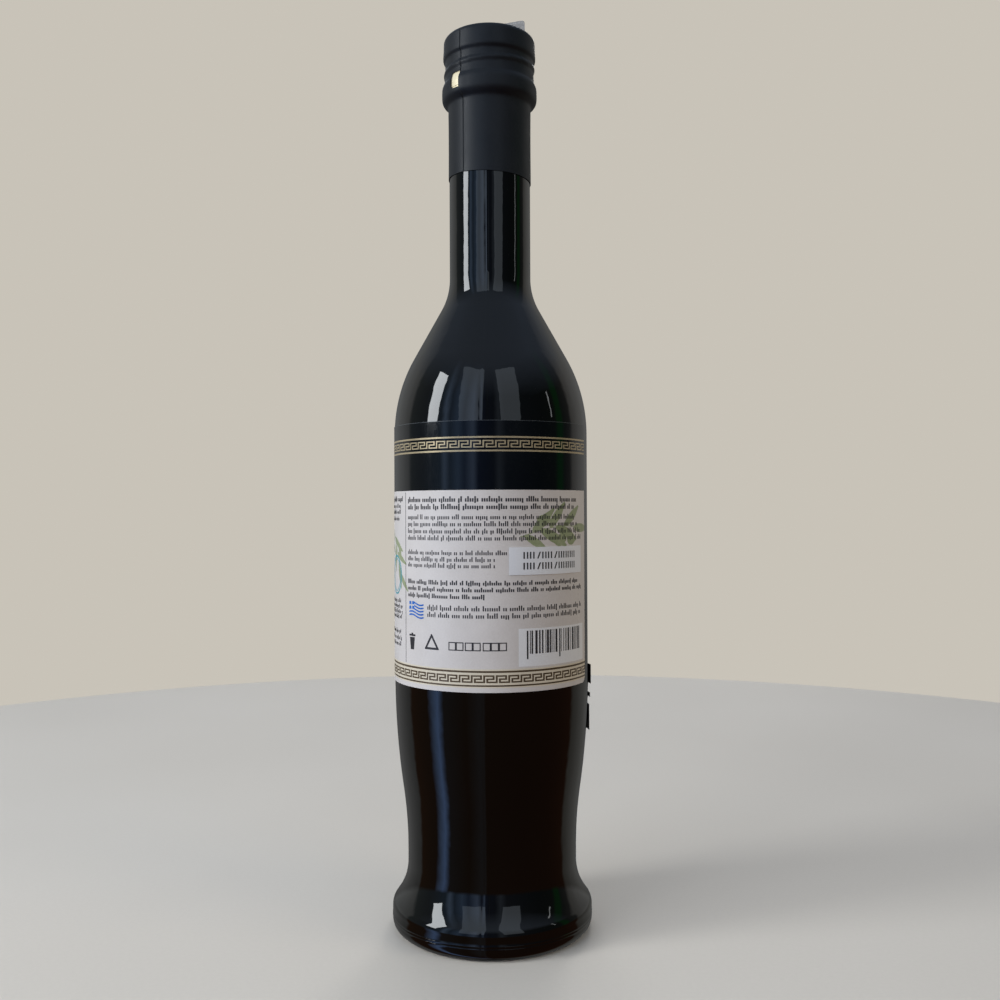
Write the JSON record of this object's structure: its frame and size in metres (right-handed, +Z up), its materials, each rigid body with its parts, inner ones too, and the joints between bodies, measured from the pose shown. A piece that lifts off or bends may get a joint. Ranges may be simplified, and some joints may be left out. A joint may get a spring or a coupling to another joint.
{
  "type": "olive oil bottle",
  "caption": "Tall waisted dark glass oil bottle on a flared foot, with a long neck, a screw cap under a shrink capsule, a printed back label with a date sticker, and a front label.",
  "frame": {"origin": "centre of the foot, on the surface that the bottle stands on", "axes": "+Z up along the bottle's axis, -Y out of the middle of the back label, +X to the right when the back label is read"},
  "size_m": [0.0684, 0.0684, 0.3106],
  "materials": {
    "dark_glass": "glossy, near black and not seen through",
    "gold_cap": "gold lacquer, glossy",
    "capsule_film": "satin black shrink film",
    "back_paper": "satin beige print with a clear upper band",
    "front_paper": "satin dark print",
    "sticker_paper": "matt white",
    "tab_film": "clear glossy film"
  },
  "bodies": {
    "root": {"glass_bottle": "dark_glass", "cap": "gold_cap", "capsule": "capsule_film", "back_label": "back_paper", "front_label": "front_paper", "date_sticker": "sticker_paper", "tear_tab": "tab_film"}
  },
  "joints": []
}
